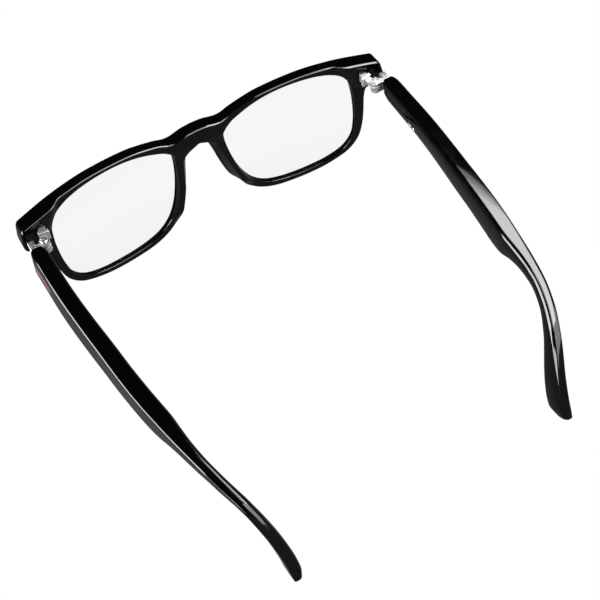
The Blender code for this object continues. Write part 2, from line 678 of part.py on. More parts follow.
# ---- placing ---------------------------------------------------------------------------
def ground_matrix(objects):
    """Pitch about X so the rims and the temple tips share the ground, then centre."""
    pts = np.array([v.co for o in objects for v in o.data.vertices])
    best = 0.0
    for _ in range(30):
        c, s = math.cos(best), math.sin(best)
        z = pts[:, 1] * s + pts[:, 2] * c
        y = pts[:, 1] * c - pts[:, 2] * s
        fore = z[y > -0.03].min()
        aft = z[y < -0.10].min()
        if abs(fore - aft) < 1e-7:
            break
        best += (fore - aft) / -0.145 * -1.0 * -1.0
    turn = Matrix.Rotation(best, 4, "X")
    moved = np.array([turn @ Vector(p) for p in pts])
    low, high = moved.min(axis=0), moved.max(axis=0)
    centre = 0.5 * (low + high)
    return Matrix.Translation((-centre[0], -centre[1], -low[2])) @ turn


def set_origin(obj, point):
    obj.data.transform(Matrix.Translation(-point))
    obj.location = point


def finish_object(obj, kind):
    mat = material(kind, obj.name)
    obj.data.materials.clear()
    obj.data.materials.append(mat)
    for poly in obj.data.polygons:
        poly.use_smooth = False


clear_scene()
PARTS = collection("smart_glasses")
CUTTERS = collection("cutters")
CUTTERS.hide_render = True


def build():
    kinds = {}
    moving = {1: [], -1: []}
    front = build_front()
    kinds[front] = "black_gloss"
    for side, tag in ((1, "right"), (-1, "left")):
        kinds[build_lens(side, tag)] = "lens"
        kinds[hinge_leaf(side, tag)] = "steel"
        shell, cover, grille, speaker = build_temple(side, tag)
        block = hinge_block(side, tag)
        screw = hinge_screw(side, tag)
        kinds.update({shell: "black_gloss", cover: "black_gloss", grille: "mesh",
                      speaker: "dark_steel", block: "steel", screw: "steel"})
        moving[side] += [shell, cover, grille, speaker, block, screw]
        if side > 0:
            for pin in contacts(cover):
                kinds[pin] = "steel"
                moving[1].append(pin)
            window = inner_window(shell)
            kinds[window] = "black_matte"
            moving[1].append(window)
        else:
            inlay = build_marks(shell)
            kinds[inlay] = "red"
            moving[-1].append(inlay)
    inside = fixed_inside()
    looks = {"battery_left": "cell", "battery_right": "cell", "board_right": "board",
             "board_left": "board", "processor": "rubber", "antenna": "copper",
             "mic_left": "dark_steel"}
    for key, obj in inside.items():
        kinds[obj] = looks[key]
        moving[-1 if key.endswith("left") else 1].append(obj)
    matrix = ground_matrix(list(kinds))
    for obj in kinds:
        obj.data.transform(matrix)
    for side in (1, -1):
        pivot = matrix @ (Vector((HINGE_X * side, HINGE_Y, -5.4)) * MM)
        for obj in moving[side]:
            set_origin(obj, pivot)
    for obj, kind in kinds.items():
        finish_object(obj, kind)


build()
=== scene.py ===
"""Looks for the smart glasses: finer skins, finishes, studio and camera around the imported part.

Shapes are worked out in millimetres with level temples (the gauge frame) and brought into the
row frame by one matrix, which comes from the frame's right hinge.
"""

import json
import math

import bmesh
import bpy
import numpy as np
from mathutils import Matrix, Vector


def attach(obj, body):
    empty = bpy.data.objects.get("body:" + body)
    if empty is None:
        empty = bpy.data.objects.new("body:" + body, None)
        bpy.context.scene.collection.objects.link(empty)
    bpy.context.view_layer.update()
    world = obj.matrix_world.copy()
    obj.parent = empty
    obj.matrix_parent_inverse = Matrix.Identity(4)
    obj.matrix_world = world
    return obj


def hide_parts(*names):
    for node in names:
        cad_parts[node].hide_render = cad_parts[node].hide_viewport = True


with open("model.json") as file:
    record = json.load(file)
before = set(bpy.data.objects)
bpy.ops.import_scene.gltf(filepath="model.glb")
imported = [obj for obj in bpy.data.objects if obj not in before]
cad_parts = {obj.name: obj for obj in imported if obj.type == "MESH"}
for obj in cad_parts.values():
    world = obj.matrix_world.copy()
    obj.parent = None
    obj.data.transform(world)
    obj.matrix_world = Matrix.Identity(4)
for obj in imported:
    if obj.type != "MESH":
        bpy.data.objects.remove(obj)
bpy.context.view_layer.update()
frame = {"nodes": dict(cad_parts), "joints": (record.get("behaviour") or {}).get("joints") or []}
MM = 0.001

# ---- the shape's driving dimensions (millimetres, as in the CAD source) ----------------
FACE_CURVE = 0.0017          # how fast the front falls back toward its ends
FACE_Y0 = 9.5
FACE_TILT = math.radians(2)
SLAB = 4.4                   # depth of the flat slab the front is bent from
RIM_DEPTH_TOP = 4.4
RIM_DEPTH_LOW = 2.6
END_DEPTH = 6.4              # depth of the end pieces
BRIDGE_DEPTH = 5.4
PAD_DEPTH = 3.0              # how far the moulded nose pads swell behind the rims
NOSE_IN = 2.2                # the nose walls splay: narrower in front,
NOSE_OUT = 1.0               # wider at the back
EDGE_ROUND = 0.55            # rounding along the outer edges of the front
INNER_ROUND = 1.15           # rounding of the back edge round each lens
GROOVE_FRONT = 0.6
GROOVE_BACK = 1.90
GROOVE_DEEP = 0.9
GROOVE_MARGIN = 0.15         # depth kept unstretched behind the groove
LENS_FRONT = 0.70
LENS_BACK = 1.70
LENS_LAP = 0.65
CLEAR = 0.25                 # working gap between neighbouring pieces
HINGE = (66.8, -11.0, -5.4)  # where the screw's axis crosses the knuckles
HINGE_POCKET = (2.9, -12.0, 2.0)   # radius, bottom and top of the hollow round the knuckles

WALL = 1.15                  # shell wall of the temples
TOP_CROWN = 0.3              # crown of the temples' top and of their inner face
INNER_CROWN = 0.45
CORNERS = (1.1, 0.7, 1.1, 1.1)   # from the outer lower corner round over the top
LEAN = 0.11                  # the section's lean near the hinge, gone at the ear bend
BAY_FROM = -31.3             # open electronics bay, front and rear end
BAY_TO = -91.0
BAY_EDGE = 1.35              # solid edge above and below the bay
CHAMBER_FROM = -22.0         # the bay runs on forward behind a thicker inner wall
CHAMBER_EDGE = 1.5
CHAMBER_INNER_WALL = 1.7
COVER_THICK = 0.9
COVER_EDGE = 0.12            # rounding of the cover's inner edges
WINDOW = (-14.9, -30.6)      # sensor window, front and rear end
WINDOW_END_HEIGHT = 0.25     # its half height at the very ends,
WINDOW_SWELL = 2.35          # and what the middle adds to it
WINDOW_SQUARENESS = 2.4
WINDOW_CENTRE = (0.1, 0.5)   # height of its middle line half way, and the line's slant
INLAY = (-17.15, -29.85)     # coloured inlay, front and rear end,
INLAY_HEIGHT = (-1.35, 0.75)  # lower and upper edge
OUTLET = (-78.5, -86.5)      # speaker outlet under the temple
OUTLET_HALF_WIDTH = 0.9
POCKET_GAP = 0.15            # clearance round the window and the inlay
WINDOW_POCKET = (-2.0, 1.0)  # from outside the inner face to this depth in it
INLAY_POCKET = (0.4, 0.6)    # this depth in the outer face, to this far outside it
PAST = 1.0                   # how far a cutting body runs on into open space

# Stretches over which a feature fades in or out: x outward, z, or distance downward.
RIM_FADE = (-36.0, -4.0)
END_FADE, END_LOWER_FADE = (55.8, 60.4), (-11.2, -9.8)
END_SLANT, END_TOP = 0.55, 2.0
BRIDGE_FADE, BRIDGE_LOWER_FADE = (7.0, 16.0), (-14.0, -6.0)
PAD_START, PAD_FINISH, PAD_FADE = (12.0, 25.0), (33.0, 42.0), (16.5, 21.0)
SPLAY_START, SPLAY_FINISH, SPLAY_FADE = (8.8, 14.0), (31.0, 41.0), (14.0, 19.0)
SQUARE_FADE = (58.0, 69.0)   # past here the walls run straight back, for the hinge
LEAN_FADE = (30.0, 108.0)

# Rounded front end of a temple: where the rounding begins, its length and its depth.
NOSE_SIDES = (-16.6, 3.4, 1.7)
NOSE_BROW = (-14.6, 1.4, 0.7)
NOSE_OUTER_SHARE = 0.8       # the outer side rounds a little less than the inner one

# Right half of the front in its own flat plane, (x, z), drawn clockwise.
TOP_EDGE = [(0.0, -1.6), (4.4, -1.9), (7.0, -2.5), (9.4, -3.0), (12.0, -2.75), (14.5, -1.8),
            (17.5, -0.9), (22.0, 0.25), (26.0, 1.1), (36.0, 2.1), (45.0, 2.5), (51.0, 2.3),
            (56.0, 2.0), (61.0, 1.5), (66.0, 0.8), (71.6, 0.0)]
END_FACE = [(72.4, -0.8), (73.1, -3.6), (73.6, -6.8), (73.2, -9.0), (71.6, -10.2)]
LOWER_EDGE = [(69.2, -10.8), (67.5, -12.6), (66.5, -16.5), (66.0, -22.0), (65.0, -29.5),
              (63.0, -36.2), (59.0, -41.3), (52.0, -44.8), (45.0, -46.6), (36.0, -47.3),
              (27.0, -46.6), (20.5, -44.1), (15.8, -40.1), (12.6, -34.6), (10.4, -28.7),
              (8.8, -22.8), (7.6, -17.4), (6.2, -13.1), (3.8, -10.0), (1.6, -8.8), (0.0, -8.5)]
LENS_EDGE = [(13.2, -6.8), (17.5, -4.6), (23.0, -2.4), (30.0, -0.7), (37.0, 0.0), (44.0, 0.0),
             (50.0, -0.6), (55.0, -1.9), (59.3, -4.4), (61.8, -8.6), (62.7, -14.6),
             (62.8, -21.1), (62.2, -28.6), (60.5, -35.5), (56.6, -40.4), (50.0, -43.5),
             (43.0, -44.8), (36.0, -45.2), (29.0, -44.6), (23.0, -42.6), (18.3, -38.5),
             (14.6, -31.8), (11.9, -23.2), (10.7, -16.8), (10.4, -12.6), (10.6, -9.5)]
# Right temple along its top outer edge: (y, x, z, height, thickness).
TEMPLE = [(-13.2, 73.0, -0.9, 8.6, 5.8), (-16.0, 73.1, -0.7, 8.8, 6.0),
          (-25.0, 72.9, -0.7, 9.2, 6.1), (-39.0, 72.4, -0.7, 9.9, 6.2),
          (-52.6, 71.4, -0.7, 10.4, 6.3), (-64.5, 70.3, -0.7, 10.8, 6.4),
          (-75.6, 69.3, -0.7, 11.1, 6.4), (-86.6, 68.0, -0.7, 11.2, 6.4),
          (-93.0, 67.0, -0.7, 11.0, 6.3), (-98.0, 66.1, -0.7, 9.9, 6.1),
          (-103.0, 65.2, -0.7, 7.6, 5.5), (-108.5, 64.1, -0.7, 6.1, 4.8),
          (-114.0, 62.9, -0.8, 5.5, 4.3), (-119.4, 61.6, -1.3, 5.2, 4.0),
          (-124.0, 60.3, -2.5, 5.2, 3.9), (-128.4, 58.9, -4.3, 5.4, 3.9),
          (-132.6, 57.3, -7.0, 5.9, 3.9), (-136.2, 55.9, -10.3, 6.4, 3.9),
          (-139.4, 54.6, -14.4, 7.0, 4.0), (-142.4, 53.4, -18.8, 7.6, 4.1),
          (-145.3, 52.5, -23.3, 8.1, 4.2), (-147.9, 51.9, -27.5, 8.2, 4.2),
          (-149.6, 51.7, -30.6, 7.5, 3.9), (-150.5, 51.5, -32.4, 5.8, 3.1)]

# Where the ring around a lens is tied to the outline of its half of the front:
# (lens point, outline point, steps to the next tie).
TIES = [((13.2, -6.8), (0.0, -1.6), 64), ((59.3, -4.4), (71.6, 0.0), 16),
        ((62.7, -14.6), (71.6, -10.2), 90), ((18.3, -38.5), (15.8, -40.1), 48),
        ((10.4, -12.6), (0.0, -8.5), 10)]

# How finely the surfaces are divided.
OUTLINE_SPAN = 16            # points of a smooth curve from one drawn point to the next
LENS_SPAN = 10
MIDDLE_POINTS = 30           # down the line where the two halves of the front meet
ROUND_STEPS = 5              # along each rounded edge
WALL_STEPS = 5               # along the outer wall between its rounded edges
LENS_WALL_STEPS = 4
ACROSS = 12                  # across the front face and the back face


def gauge_matrix():
    """From the gauge frame to the row frame, read off the right hinge's place and axis."""
    hinge = next(j for j in frame["joints"] if j["name"] == "hinge_right")
    pitch = math.atan2(-hinge["axis"][1], hinge["axis"][2])
    turn = Matrix.Rotation(pitch, 4, "X")
    return Matrix.Translation(Vector(hinge["pos_m"]) - turn @ (Vector(HINGE) * MM)) @ turn


GAUGE = gauge_matrix()


# ---- curves ---------------------------------------------------------------------------
def spline(points, per_span, closed=False):
    """Centripetal Catmull-Rom through the points."""
    pts = [np.array(p, dtype=float) for p in points]
    if closed:
        pts = [pts[-1]] + pts + [pts[0], pts[1]]
    else:
        pts = [2 * pts[0] - pts[1]] + pts + [2 * pts[-1] - pts[-2]]
    out = []
    for p0, p1, p2, p3 in zip(pts, pts[1:], pts[2:], pts[3:]):
        t1 = np.linalg.norm(p1 - p0) ** 0.5
        t2 = t1 + np.linalg.norm(p2 - p1) ** 0.5
        t3 = t2 + np.linalg.norm(p3 - p2) ** 0.5
        for k in range(per_span):
            t = t1 + (t2 - t1) * k / per_span
            a1 = p0 * (t1 - t) / t1 + p1 * t / t1
            a2 = p1 * (t2 - t) / (t2 - t1) + p2 * (t - t1) / (t2 - t1)
            a3 = p2 * (t3 - t) / (t3 - t2) + p3 * (t - t2) / (t3 - t2)
            b1 = a1 * (t2 - t) / t2 + a2 * t / t2
            b2 = a2 * (t3 - t) / (t3 - t1) + a3 * (t - t1) / (t3 - t1)
            out.append(b1 * (t2 - t) / (t2 - t1) + b2 * (t - t1) / (t2 - t1))
    if not closed:
        out.append(pts[-2])
    return np.array(out)


def half_outline():
    """The right half's outline from the middle of the top edge round to under the bridge."""
    top = spline(TOP_EDGE, OUTLINE_SPAN)
    corner = spline([TOP_EDGE[-1]] + END_FACE, OUTLINE_SPAN)
    low = spline([END_FACE[-1]] + LOWER_EDGE, OUTLINE_SPAN)
    return np.concatenate([top, corner[1:], low[1:]])


def nearest(poly, point):
    """Index of the polyline's point that lies closest."""
    return int(np.argmin(np.linalg.norm(poly - np.array(point), axis=1)))


def resample(poly, count):
    """Points evenly spaced along an open polyline, without the last one."""
    step = np.linalg.norm(np.diff(poly, axis=0), axis=1)
    along = np.concatenate([[0.0], np.cumsum(step)])
    want = np.linspace(0.0, along[-1], count + 1)[:-1]
    return np.stack([np.interp(want, along, poly[:, k]) for k in (0, 1)], axis=1)


def loop_normals(loop):
    """Unit normals of a plane loop that runs clockwise (x right, z up), pointing outward."""
    ahead = np.roll(loop, -1, axis=0) - np.roll(loop, 1, axis=0)
    ahead /= np.linalg.norm(ahead, axis=1)[:, None]
    return np.stack([-ahead[:, 1], ahead[:, 0]], axis=1)


def tied_rings():
    """The lens loop and the outline loop of the right half, point for point."""
    lens = spline(LENS_EDGE, OUTLINE_SPAN, closed=True)
    outline = half_outline()
    line = np.linspace(outline[-1], outline[0], MIDDLE_POINTS)[1:-1]
    outer = np.concatenate([outline, line])
    inner_pts, outer_pts = [], []
    for (a, b, count), (a2, b2, _) in zip(TIES, TIES[1:] + TIES[:1]):
        for poly, here, there, bag in ((lens, a, a2, inner_pts), (outer, b, b2, outer_pts)):
            i, j = nearest(poly, here), nearest(poly, there)
            if j <= i:
                piece = np.concatenate([poly[i:], poly[:j + 1]])
            else:
                piece = poly[i:j + 1]
            bag.append(resample(piece, count))
    return np.concatenate(inner_pts), np.concatenate(outer_pts)


# ---- the wrap of the front ------------------------------------------------------------
def ease(value, low, high):
    """Smooth step from 0 at low to 1 at high."""
    t = min(max((value - low) / (high - low), 0.0), 1.0)
    return t * t * (3.0 - 2.0 * t)


def rim_depth(z):
    return RIM_DEPTH_LOW + (RIM_DEPTH_TOP - RIM_DEPTH_LOW) * ease(z, *RIM_FADE)


def nose_pad(x, z):
    """Extra depth of the rim along the nose, swelling and fading smoothly."""
    run = ease(-z, *PAD_START) * (1.0 - ease(-z, *PAD_FINISH))
    return PAD_DEPTH * run * (1.0 - ease(abs(x), *PAD_FADE))


def splayed(loop, y):
    """Outline at a depth of the slab: the nose walls are narrower in front than behind."""
    shift = -NOSE_IN - y / SLAB * (NOSE_OUT + NOSE_IN)
    out = loop.copy()
    for p in out:
        x, z = p
        run = ease(-z, *SPLAY_START) * (1.0 - ease(-z, *SPLAY_FINISH))
        p[0] = x + shift * (run * (1.0 - ease(x, *SPLAY_FADE)))
    return out


def front_depth(x, z):
    """How deep the front is, front face to back face, at a place in its plane."""
    rim = rim_depth(z)
    end = ease(abs(x) - END_SLANT * (END_TOP - z), *END_FADE) * ease(z, *END_LOWER_FADE)
    bridge = (1.0 - ease(abs(x), *BRIDGE_FADE)) * ease(z, *BRIDGE_LOWER_FADE)
    depth = rim + (END_DEPTH - rim) * end
    return depth + (BRIDGE_DEPTH - depth) * bridge + nose_pad(x, z)


def bend(x, y, z):
    """Flat slab (millimetres) to the wrapped and tilted front, in the gauge frame."""
    zone = GROOVE_BACK + GROOVE_MARGIN
    if y < -zone:
        y = -zone + (y + zone) * (front_depth(x, z) - zone) / (SLAB - zone)
    slope = 2.0 * FACE_CURVE * x
    norm = math.sqrt(1.0 + slope * slope)
    square = 1.0 - ease(abs(x), *SQUARE_FADE)
    px = x + square * y * slope / norm
    py = FACE_Y0 - FACE_CURVE * x * x + y * (square / norm + 1.0 - square)
    py -= RIM_DEPTH_TOP - rim_depth(z)
    return Vector((px, py + z * math.tan(FACE_TILT), z))


# ---- mesh helpers ---------------------------------------------------------------------
def to_object(name, bm, weld=0.004):
    """A mesh object in the row frame from a gauge-frame bmesh in millimetres."""
    if weld:
        bmesh.ops.remove_doubles(bm, verts=bm.verts, dist=weld)
    bmesh.ops.recalc_face_normals(bm, faces=bm.faces)
    bmesh.ops.transform(bm, matrix=GAUGE @ Matrix.Scale(MM, 4), verts=bm.verts)
    mesh = bpy.data.meshes.new(name)
    bm.to_mesh(mesh)
    bm.free()
    obj = bpy.data.objects.new(name, mesh)
    bpy.context.scene.collection.objects.link(obj)
    return obj


def cut(obj, bm):
    """Cuts a gauge-frame bmesh out of the object."""
    tool = to_object("tool", bm, 0)
    mod = obj.modifiers.new("bool", "BOOLEAN")
    mod.operation = "DIFFERENCE"
    mod.solver = "EXACT"
    mod.object = tool
    bpy.context.view_layer.update()
    graph = bpy.context.evaluated_depsgraph_get()
    mesh = bpy.data.meshes.new_from_object(obj.evaluated_get(graph))
    obj.modifiers.clear()
    old, obj.data = obj.data, mesh
    bpy.data.meshes.remove(old)
    bpy.data.objects.remove(tool)


def smooth(obj, angle=38.0, weighted=True):
    """Smooth shading with edges kept sharp above the angle, in degrees."""
    mesh = obj.data
    mesh.polygons.foreach_set("use_smooth", [True] * len(mesh.polygons))
    mesh.set_sharp_from_angle(angle=math.radians(angle))
    if weighted:
        mod = obj.modifiers.new("normals", "WEIGHTED_NORMAL")
        mod.keep_sharp = True
        mod.weight = 60
    return obj


def skin(rings):
    """Quads between equal closed rings of points."""
    bm = bmesh.new()
    layers = [[bm.verts.new(p) for p in ring] for ring in rings]
    count = len(layers[0])
    for a, b in zip(layers, layers[1:]):
        for i in range(count):
            j = (i + 1) % count
            bm.faces.new((a[i], a[j], b[j], b[i]))
    return bm, layers


def loft(rings):
    """A closed body through the rings, with flat caps."""
    bm, layers = skin(rings)
    bm.faces.new(list(reversed(layers[0])))
    bm.faces.new(layers[-1])
    return bm


def mirror(bm):
    """The same shape on the other side of the plane of symmetry."""
    for vert in bm.verts:
        vert.co.x = -vert.co.x
    bmesh.ops.reverse_faces(bm, faces=bm.faces)
    return bm


def cylinder(x, y, z0, z1, radius):
    bm = bmesh.new()
    middle = Matrix.Translation((x, y, 0.5 * (z0 + z1)))
    bmesh.ops.create_cone(bm, cap_ends=True, segments=64, radius1=radius, radius2=radius,
                          depth=abs(z1 - z0), matrix=middle)
    return bm


# ---- the front ------------------------------------------------------------------------
def rounding(y_edge, toward, radius=EDGE_ROUND):
    """(inset, y) of a rounded edge from the flat face out to the wall, as a list."""
    out = []
    for k in range(ROUND_STEPS + 1):
        ang = 0.5 * math.pi * k / ROUND_STEPS
        out.append((radius * (1.0 - math.sin(ang)),
                    y_edge + toward * radius * (1.0 - math.cos(ang))))
    return out


def front_half(side):
    """One half of the front as a band of quads that runs right round its lens."""
    inner, outer = tied_rings()
    full = np.concatenate([half_outline(), half_outline()[::-1][1:-1] * np.array([-1.0, 1.0])])
    full_normals = loop_normals(full)
    inner_normals = loop_normals(inner)
    outline_count = sum(t[2] for t in TIES[:-1]) + 1
    outer_normals = np.zeros_like(outer)
    for i in range(outline_count):
        outer_normals[i] = full_normals[nearest(full, outer[i % len(outer)])]
    outer_normals[0] = (0.0, 1.0)
    outer_normals[outline_count - 1] = (0.0, -1.0)
    front_arc, back_arc = rounding(0.0, -1.0), rounding(-SLAB, 1.0)
    lens_arc = rounding(-SLAB, 1.0, INNER_ROUND)

    def inner_row(out, y):
        pts = inner + inner_normals * out
        return [(p[0], y, p[1]) for p in pts]

    def outer_loop(inset, y):
        return splayed(outer, y) - outer_normals * inset

    def outer_row(inset, y):
        return [(p[0], y, p[1]) for p in outer_loop(inset, y)]

    def face_row(share, y, radius=EDGE_ROUND):
        a0, b0 = inner + inner_normals * radius, outer_loop(EDGE_ROUND, y)
        return [(p[0], y, p[1]) for p in a0 * (1 - share) + b0 * share]

    # section walked: front face from the lens out, outer wall, back face in, lens wall
    rows = [face_row(k / ACROSS, 0.0) for k in range(ACROSS + 1)]
    rows += [outer_row(a, y) for a, y in front_arc[1:]]
    middle = np.linspace(-EDGE_ROUND, -SLAB + EDGE_ROUND, WALL_STEPS + 1)[1:-1]
    rows += [outer_row(0.0, y) for y in middle]
    rows += [outer_row(a, y) for a, y in reversed(back_arc)]
    rows += [face_row(1 - k / ACROSS, -SLAB, INNER_ROUND) for k in range(1, ACROSS + 1)]
    rows += [inner_row(a, y) for a, y in lens_arc[1:]]
    lens_wall = np.linspace(-SLAB + INNER_ROUND, -GROOVE_BACK, LENS_WALL_STEPS + 1)[1:]
    rows += [inner_row(0.0, y) for y in lens_wall]
    rows += [inner_row(GROOVE_DEEP, -GROOVE_BACK), inner_row(GROOVE_DEEP, -GROOVE_FRONT),
             inner_row(0.0, -GROOVE_FRONT)]
    rows += [inner_row(a, y) for a, y in list(reversed(front_arc))[:-1]]
    bent = [[bend(*p) for p in row] for row in rows]
    bm, layers = skin(bent + [bent[0]])
    # the strip of outer wall that would lie in the plane of symmetry isn't wanted
    low, high = ACROSS, ACROSS + 2 * ROUND_STEPS + WALL_STEPS
    doomed = []
    for a, b in zip(layers[low:high], layers[low + 1:high + 1]):
        for i in range(outline_count - 1, len(outer)):
            j = (i + 1) % len(outer)
            face = bm.faces.get((a[i], a[j], b[j], b[i]))
            if face:
                doomed.append(face)
    bmesh.ops.delete(bm, geom=doomed, context="FACES")
    return mirror(bm) if side < 0 else bm


def join(*meshes):
    """One bmesh out of several."""
    out = bmesh.new()
    for bm in meshes:
        mesh = bpy.data.meshes.new("part")
        bm.to_mesh(mesh)
        bm.free()
        out.from_mesh(mesh)
        bpy.data.meshes.remove(mesh)
    return out


def build_front():
    """Both halves of the front, welded in the plane of symmetry."""
    return smooth(to_object("front_skin", join(front_half(1), front_half(-1))))


def build_lens(side, tag):
    """The lens as a domed disc with eased edges, seated in its groove."""
    edge = spline(LENS_EDGE, LENS_SPAN, closed=True)
    edge = edge + loop_normals(edge) * LENS_LAP
    centre = edge.mean(axis=0)

    def row(scale, inset, y):
        pts = centre + (edge - centre) * scale
        pts = pts - loop_normals(edge) * inset
        return [bend(p[0], y, p[1]) for p in pts]

    steps = [0.02, 0.12, 0.25, 0.38, 0.5, 0.62, 0.74, 0.85, 0.93, 0.98]
    wide, narrow = 0.12, 0.03    # the two cuts that ease each edge
    rows = [row(s, 0.0, -LENS_FRONT) for s in steps]
    rows += [row(1.0, wide, -LENS_FRONT), row(1.0, narrow, -LENS_FRONT - narrow),
             row(1.0, 0.0, -LENS_FRONT - wide), row(1.0, 0.0, -LENS_BACK + wide),
             row(1.0, narrow, -LENS_BACK + narrow), row(1.0, wide, -LENS_BACK)]
    rows += [row(s, 0.0, -LENS_BACK) for s in reversed(steps)]
    bm = loft(rows)
    obj = to_object("lens_skin_" + tag, mirror(bm) if side < 0 else bm, 0)
    return smooth(obj, 40.0, False)


# ---- the temples ----------------------------------------------------------------------
ROWS = np.array(TEMPLE)
SLOPES = np.gradient(ROWS[:, 1:], -ROWS[:, 0], axis=0)


def temple_state(y):
    """Top outer edge point, height and thickness at a distance along the temple."""
    ys = -ROWS[:, 0]
    s = min(max(-y, ys[0]), ys[-1])
    i = int(min(max(np.searchsorted(ys, s) - 1, 0), len(ys) - 2))
    h = ys[i + 1] - ys[i]
    t = (s - ys[i]) / h
    h00, h10 = 2 * t ** 3 - 3 * t ** 2 + 1, t ** 3 - 2 * t ** 2 + t
    h01, h11 = -2 * t ** 3 + 3 * t ** 2, t ** 3 - t ** 2
    val = h00 * ROWS[i, 1:] + h10 * h * SLOPES[i] + h01 * ROWS[i + 1, 1:] + h11 * h * SLOPES[i + 1]
    return -s, val


def temple_frame(y):
    """Top outer edge point, sideways and upward directions, height and thickness."""
    reach = 0.4
    y, val = temple_state(y)
    _, ahead = temple_state(y + reach)
    _, behind = temple_state(y - reach)
    span = min(y + reach, TEMPLE[0][0]) - max(y - reach, TEMPLE[-1][0])
    tangent = Vector((behind[0] - ahead[0], -span, behind[1] - ahead[1])).normalized()
    up = Vector((0.0, -tangent.z, tangent.y))
    if up.z < 0.0:
        up = -up
    up.normalize()
    lateral = up.cross(tangent).normalized()
    return Vector((val[0], y, val[1])), lateral, up, val[2], val[3]


def rounded_section(lat0, lat1, up0, up1, radii, steps, divide):
    """Rounded rectangle as (lateral, up) points; radii from outer low, round over the top."""
    room = 0.49 * min(lat1 - lat0, up1 - up0)
    arcs = []
    corners = [(lat1, up0, -1, 1, -90), (lat1, up1, -1, -1, 0), (lat0, up1, 1, -1, 90),
               (lat0, up0, 1, 1, 180)]
    for (cx, cy, sx, sy, start), radius in zip(corners, radii):
        radius = min(radius, room)
        angles = [math.radians(start + 90.0 * k / steps) for k in range(steps + 1)]
        arcs.append([(cx + radius * (sx + math.cos(a)), cy + radius * (sy + math.sin(a)))
                     for a in angles] if radius > 0.02 else [(cx, cy)])
    out = []
    for arc, following in zip(arcs, arcs[1:] + arcs[:1]):
        here, there = arc[-1], following[0]
        out += arc
        out += [tuple(h + (t - h) * k / divide for h, t in zip(here, there))
                for k in range(1, divide)]
    return out


def temple_ring(y, lat, vert, radii, steps, divide):
    """Section ring; lat and vert are callables of (thickness, height) giving the limits."""
    corner, lateral, up, height, thick = temple_frame(y)
    lean = LEAN - LEAN * ease(-y, *LEAN_FADE)
    lat0, lat1 = lat(thick)
    up0, up1 = vert(height)
    ring = []
    for a, b in rounded_section(lat0, lat1, up0, up1, radii, steps, divide):
        out = a - 0.5 * thick + lean * (0.5 * height - b)
        out += INNER_CROWN * min(2.0 * b / height, 1.0) ** 2 * ease(-a, 0.0, 0.5 * thick)
        drop = TOP_CROWN * (min(abs(2.0 * a / thick), 1.0) ** 2 - 0.5) * ease(b, 0.0, 0.5 * height)
        ring.append(corner + lateral * out + up * (b - 0.5 * height - drop))
    return ring


def along_temple(ys, lat, vert, radii=(0.0,) * 4, steps=3, divide=1):
    """A body that follows the temple, with one section at each y."""
    return loft([temple_ring(y, lat, vert, radii, steps, divide) for y in ys])


def quarter(y, start, length, depth):
    """Inset of a quarter-round end, nothing up to start and depth a length further on."""
    t = min(max((y - start) / length, 0.0), 1.0)
    return depth * (1.0 - math.sqrt(1.0 - t * t))


def temple_stations():
    """Where the temple's sections are taken, closer together at its two rounded ends."""
    start, length, _ = NOSE_SIDES
    nose = [start + length * math.sin(0.5 * math.pi * k / 12) for k in range(12, 0, -1)]
    body = list(np.linspace(-17.2, -92.0, 60)) + list(np.linspace(-93.0, -148.6, 70))
    tip = [-148.9, -149.2, -149.5, -149.75, -149.95, -150.1, -150.2, -150.3, -150.38, -150.45]
    return nose + body + tip


def temple_body():
    """The solid temple before anything is cut out of it."""
    rings = []
    for y in temple_stations():
        nose = quarter(y, *NOSE_SIDES)
        brow = quarter(y, *NOSE_BROW)
        rings.append(temple_ring(
            y, lambda t, s=nose: (-0.5 * t + s, 0.5 * t - NOSE_OUTER_SHARE * s),
            lambda h, s=brow: (-0.5 * h + s, 0.5 * h - s), CORNERS, steps=7, divide=6))
    return loft(rings)


def cavity():
    """The electronics bay, open on the inner face."""
    return along_temple(np.linspace(BAY_FROM, BAY_TO, 50),
                        lambda t: (-0.5 * t - PAST, 0.5 * t - WALL),
                        lambda h: (-0.5 * h + BAY_EDGE, 0.5 * h - BAY_EDGE))


def chamber():
    """The closed room ahead of the bay."""
    return along_temple(np.linspace(CHAMBER_FROM, BAY_FROM - PAST, 8),
                        lambda t: (-0.5 * t + CHAMBER_INNER_WALL, 0.5 * t - WALL - 0.1),
                        lambda h: (-0.5 * h + CHAMBER_EDGE, 0.5 * h - CHAMBER_EDGE))


def window(grow, inner, outer):
    """The pocket of the long oval sensor window."""
    middle, half = 0.5 * (WINDOW[0] + WINDOW[1]), 0.5 * (WINDOW[0] - WINDOW[1])
    rings = []
    for k in range(41):
        t = -math.cos(math.pi * k / 40)
        oval = max(0.0, 1.0 - abs(t) ** WINDOW_SQUARENESS) ** (1.0 / WINDOW_SQUARENESS)
        reach = WINDOW_END_HEIGHT + WINDOW_SWELL * oval + grow
        centre = WINDOW_CENTRE[0] + WINDOW_CENTRE[1] * t
        rings.append(temple_ring(middle - t * (half + grow),
                                 lambda th: (-0.5 * th + inner, -0.5 * th + outer),
                                 lambda h: (centre - reach, centre + reach),
                                 (0.0,) * 4, steps=3, divide=6))
    return loft(rings)


def inlay(grow, inner, outer):
    """The pocket of the coloured inlay."""
    low, high = INLAY_HEIGHT
    return along_temple(np.linspace(INLAY[0] + grow, INLAY[1] - grow, 24),
                        lambda t: (0.5 * t - inner, 0.5 * t + outer),
                        lambda h: (low - grow, high + grow))


def outlet():
    """The slot that lets the speaker out through the underside."""
    return along_temple(OUTLET, lambda t: (-OUTLET_HALF_WIDTH, OUTLET_HALF_WIDTH),
                        lambda h: (-0.5 * h - PAST, -0.5 * h + 2.0 * PAST))


